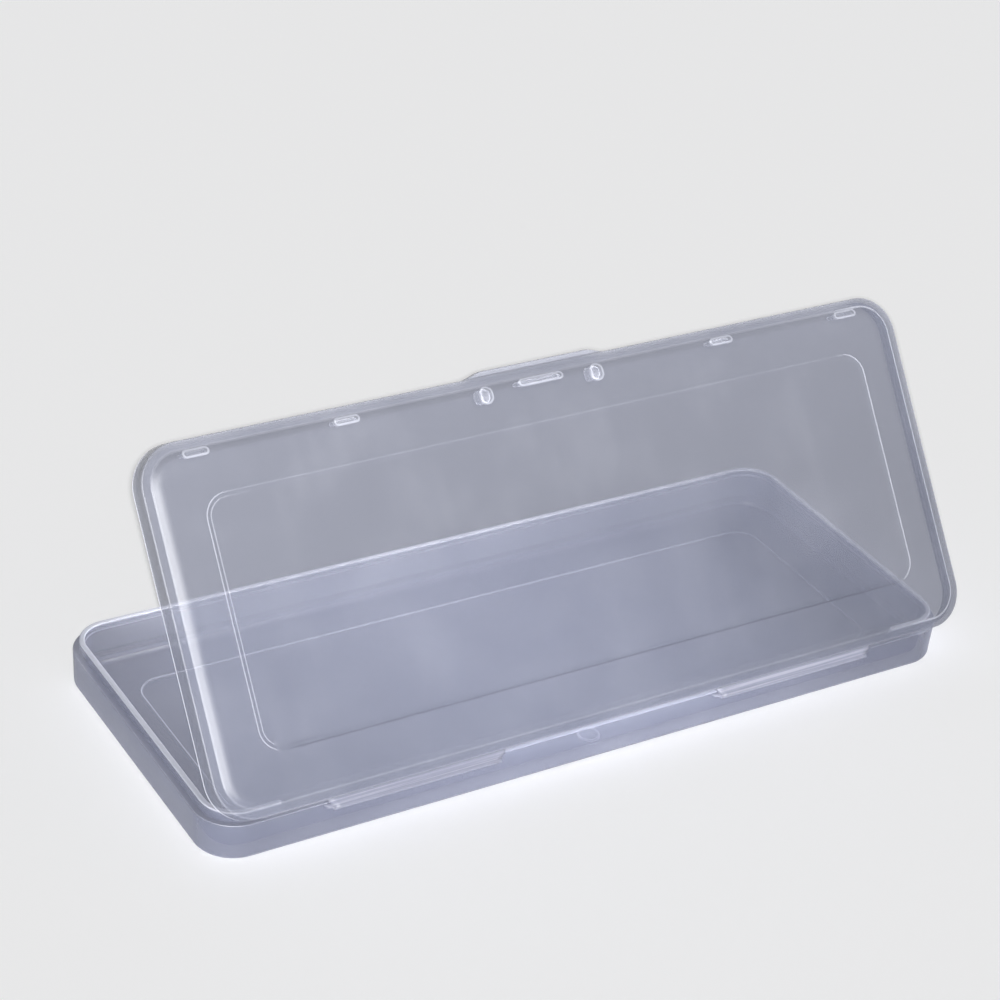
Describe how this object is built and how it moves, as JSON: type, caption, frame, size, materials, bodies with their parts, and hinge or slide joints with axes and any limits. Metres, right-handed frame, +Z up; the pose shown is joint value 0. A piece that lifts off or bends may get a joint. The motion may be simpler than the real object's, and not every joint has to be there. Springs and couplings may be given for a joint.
{
  "type": "hinged storage case",
  "caption": "Flat, long hinged storage case in milky translucent plastic: a shallow tray and a lid joined by folding straps, with a thumb lip at the front.",
  "frame": {"origin": "middle of the tray's flat underside, on the surface that it stands on", "axes": "+X along the case, +Y from the hinge side to the front that opens, +Z up; the lid turns about a line along X on the -Y side"},
  "size_m": [0.2, 0.0872, 0.0806],
  "materials": {
    "tray_plastic": "milky translucent polypropylene, satin",
    "lid_plastic": "milky translucent polypropylene, satin",
    "hinge_plastic": "milky translucent polypropylene, thin and flexible",
    "lug_plastic": "milky translucent polypropylene, whiter where it is thick"
  },
  "bodies": {
    "base": {"base_tray": "tray_plastic", "left_tray_leaf": "hinge_plastic", "right_tray_leaf": "hinge_plastic", "left_hinge_film": "hinge_plastic", "right_hinge_film": "hinge_plastic"},
    "lid": {"lid_shell": "lid_plastic", "left_lid_leaf": "hinge_plastic", "right_lid_leaf": "hinge_plastic", "left_outer_lug": "lug_plastic", "left_inner_lug": "lug_plastic", "centre_lug": "lug_plastic", "right_inner_lug": "lug_plastic", "right_outer_lug": "lug_plastic", "left_peg": "lug_plastic", "right_peg": "lug_plastic"}
  },
  "joints": [
    {"name": "lid_hinge", "type": "hinge", "parent": "base", "child": "lid", "pos_m": [0, -0.04331, 0.0095], "axis": [1, 0, 0], "range_deg": [-53.3, 126.7], "deforming": ["left_hinge_film", "right_hinge_film"]}
  ]
}
